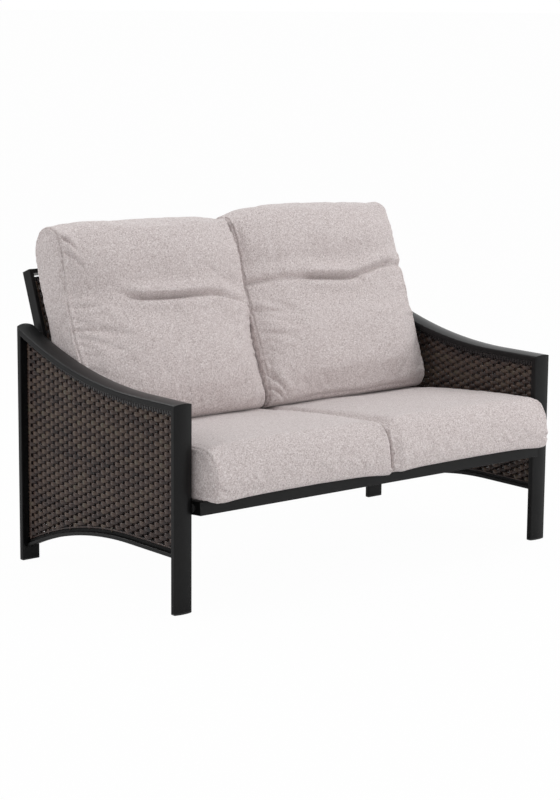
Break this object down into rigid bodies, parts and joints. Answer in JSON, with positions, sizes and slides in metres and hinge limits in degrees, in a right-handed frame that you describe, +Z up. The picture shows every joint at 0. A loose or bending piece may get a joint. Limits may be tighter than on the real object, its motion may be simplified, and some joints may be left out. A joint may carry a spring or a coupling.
{
  "type": "patio loveseat",
  "caption": "Patio loveseat with wide sloping tube arms, woven wicker side and back panels, a leaning back and loose box-edged cushions.",
  "frame": {"origin": "on the floor, under the middle of the whole part's bounding box", "axes": "+X to the right seen from the front and from arm to arm, -Y is the front that people sit down from, +Z up"},
  "size_m": [1.4, 0.899, 0.9877],
  "materials": {
    "frame": "charcoal powder coat, semi-gloss",
    "weave": "flat resin wicker, mixed dark browns",
    "cushion_fabric": "light greige tweed, matte",
    "webbing": "black woven webbing",
    "black_nylon": "moulded, matte",
    "fasteners": "blackened stainless"
  },
  "bodies": {
    "frame": {"back_bottom_rail": "frame", "back_slot_spacers": "black_nylon", "back_stay": "frame", "back_top_rail": "frame", "back_weave_top_bar": "weave", "left_arch_rail": "frame", "left_arm_bolts": "fasteners", "left_arm_inserts": "fasteners", "left_arm_rail": "frame", "left_arm_spacers": "black_nylon", "left_back_post": "frame", "left_back_weave_bar": "weave", "left_foot_glides": "black_nylon", "left_front_leg": "frame", "left_rear_leg": "frame", "left_seat_side_rail": "frame", "left_seat_straps": "webbing", "left_side_rail_cap": "black_nylon", "left_weave_front_bar": "weave", "left_weave_rear_bar": "weave", "left_weave_sill": "frame", "left_weave_top_bar": "weave", "left_woven_side": "weave", "right_arch_rail": "frame", "right_arm_bolts": "fasteners", "right_arm_inserts": "fasteners", "right_arm_rail": "frame", "right_arm_spacers": "black_nylon", "right_back_post": "frame", "right_back_weave_bar": "weave", "right_foot_glides": "black_nylon", "right_front_leg": "frame", "right_rear_leg": "frame", "right_seat_side_rail": "frame", "right_seat_straps": "webbing", "right_side_rail_cap": "black_nylon", "right_weave_front_bar": "weave", "right_weave_rear_bar": "weave", "right_weave_sill": "frame", "right_weave_top_bar": "weave", "right_woven_side": "weave", "seat_front_rail": "frame", "seat_middle_rail": "frame", "seat_rear_rail": "frame", "strap_rivets": "fasteners", "woven_back": "weave"},
    "left_seat_pad": {"left_seat_cushion": "cushion_fabric"},
    "right_seat_pad": {"right_seat_cushion": "cushion_fabric"},
    "left_back_pad": {"left_back_cushion": "cushion_fabric"},
    "right_back_pad": {"right_back_cushion": "cushion_fabric"}
  },
  "joints": [
    {"name": "left_seat_pad_out", "type": "slide", "parent": "frame", "child": "left_seat_pad", "axis": [0, -0.9968, 0.0802], "range_m": [0, 0.65]},
    {"name": "right_seat_pad_out", "type": "slide", "parent": "frame", "child": "right_seat_pad", "axis": [0, -0.9968, 0.0802], "range_m": [0, 0.65]},
    {"name": "left_back_pad_up", "type": "slide", "parent": "frame", "child": "left_back_pad", "axis": [0, 0.3543, 0.9351], "range_m": [0, 0.45]},
    {"name": "right_back_pad_up", "type": "slide", "parent": "frame", "child": "right_back_pad", "axis": [0, 0.3543, 0.9351], "range_m": [0, 0.45]}
  ]
}
